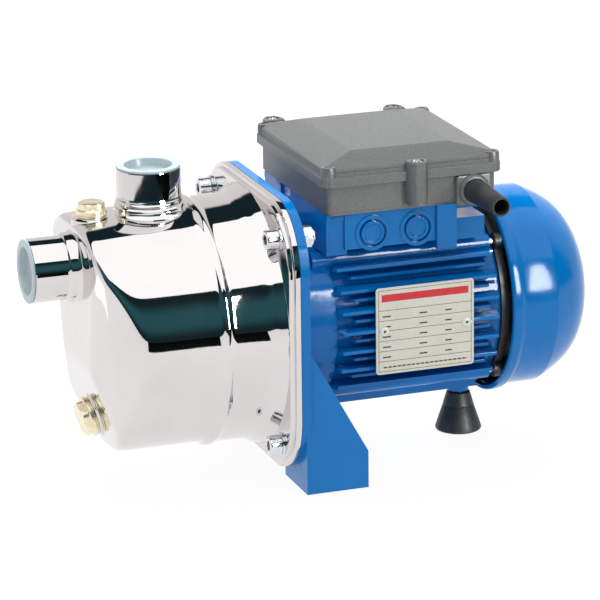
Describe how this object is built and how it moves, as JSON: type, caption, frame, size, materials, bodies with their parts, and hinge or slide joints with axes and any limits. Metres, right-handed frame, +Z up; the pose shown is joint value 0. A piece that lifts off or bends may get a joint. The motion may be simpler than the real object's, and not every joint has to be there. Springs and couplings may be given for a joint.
{
  "type": "shallow well jet pump",
  "caption": "Self-priming jet pump: polished stainless ejector casing on a blue cast bracket, finned motor with a grey terminal box, fan cover and one rubber foot",
  "frame": {"origin": "midway between the two base bolt holes of the bracket, on the ground", "axes": "+X runs along the shaft from the suction port towards the fan, +Y is to the side away from the nameplate and the cable sleeve, +Z is up"},
  "size_m": [0.3803, 0.2035, 0.215],
  "materials": {
    "polished_steel": "mirror-bright pressed stainless sheet",
    "turned_steel": "turned stainless bar, satin",
    "clear_plastic": "soft translucent bluish polythene",
    "brass": "machined brass, bright",
    "black_rubber": "moulded nitrile rubber, slightly dusty",
    "moulded_hydraulics": "glass-filled moulding, natural",
    "seal_ceramic": "lapped ceramic",
    "seal_carbon": "lapped carbon",
    "zinc_fasteners": "bright zinc plate",
    "blue_enamel": "gloss blue enamel over a casting",
    "bare_casting": "as-cast aluminium",
    "lamination_steel": "stacked electrical sheet",
    "copper_winding": "varnished copper wire",
    "black_plastic": "moulded black nylon",
    "grey_plastic": "dark grey spark-textured ABS",
    "white_plastic": "white moulded can",
    "label_plate": "ivory printed aluminium plate with ruled rows"
  },
  "bodies": {
    "pump_body": {"pump_casing": "polished_steel", "suction_port": "turned_steel", "delivery_port": "turned_steel", "casing_gasket": "black_rubber", "seal_plate": "turned_steel", "ejector_body": "moulded_hydraulics", "nozzle": "brass", "venturi_tube": "moulded_hydraulics", "diffuser": "moulded_hydraulics", "seal_seat": "seal_ceramic", "casing_screws": "zinc_fasteners", "casing_washers": "zinc_fasteners", "casing_nuts": "zinc_fasteners", "bracket": "blue_enamel", "front_bearing_outer": "turned_steel", "rear_bearing_outer": "turned_steel", "preload_washer": "turned_steel", "stator_core": "lamination_steel", "stator_windings": "copper_winding", "motor_housing": "blue_enamel", "knockout_plugs": "blue_enamel", "rear_shield": "bare_casting", "tie_rods": "zinc_fasteners", "fan_cover": "blue_enamel", "fan_cover_screws": "zinc_fasteners", "box_gasket": "grey_plastic", "terminal_box": "grey_plastic", "terminal_box_lid": "grey_plastic", "lid_screws": "zinc_fasteners", "terminal_block": "black_plastic", "terminal_screws": "brass", "capacitor": "white_plastic", "cable_gland": "grey_plastic", "cable_sleeve": "grey_plastic", "nameplate": "label_plate", "nameplate_rivets": "zinc_fasteners", "rubber_foot": "black_rubber", "foot_stud": "zinc_fasteners"},
    "rotor": {"shaft": "turned_steel", "impeller": "brass", "impeller_nut": "turned_steel", "impeller_key": "turned_steel", "seal_ring": "seal_carbon", "seal_spring": "turned_steel", "seal_collar": "turned_steel", "slinger": "black_rubber", "front_bearing_inner": "turned_steel", "rear_bearing_inner": "turned_steel", "bearing_balls": "turned_steel", "rotor_core": "lamination_steel", "rotor_rings": "bare_casting", "fan": "black_plastic", "fan_clip": "turned_steel"},
    "suction_cap": {"suction_cap": "clear_plastic"},
    "delivery_cap": {"delivery_cap": "clear_plastic"},
    "priming_plug": {"priming_plug": "brass", "priming_washer": "black_rubber"},
    "drain_plug": {"drain_plug": "brass", "drain_washer": "black_rubber"}
  },
  "joints": [
    {"name": "rotor_spin", "type": "hinge", "parent": "pump_body", "child": "rotor", "pos_m": [0.055, 0, 0.099], "axis": [1, 0, 0], "continuous": true},
    {"name": "suction_cap_pull", "type": "slide", "parent": "pump_body", "child": "suction_cap", "axis": [-1, 0, 0], "range_m": [0, 0.06]},
    {"name": "delivery_cap_pull", "type": "slide", "parent": "pump_body", "child": "delivery_cap", "axis": [0, 0, 1], "range_m": [0, 0.06]},
    {"name": "priming_plug_lift", "type": "slide", "parent": "pump_body", "child": "priming_plug", "axis": [0, 0, 1], "range_m": [0, 0.03]},
    {"name": "drain_plug_lift", "type": "slide", "parent": "pump_body", "child": "drain_plug", "axis": [-0.9659, 0, -0.2588], "range_m": [0, 0.03]}
  ]
}
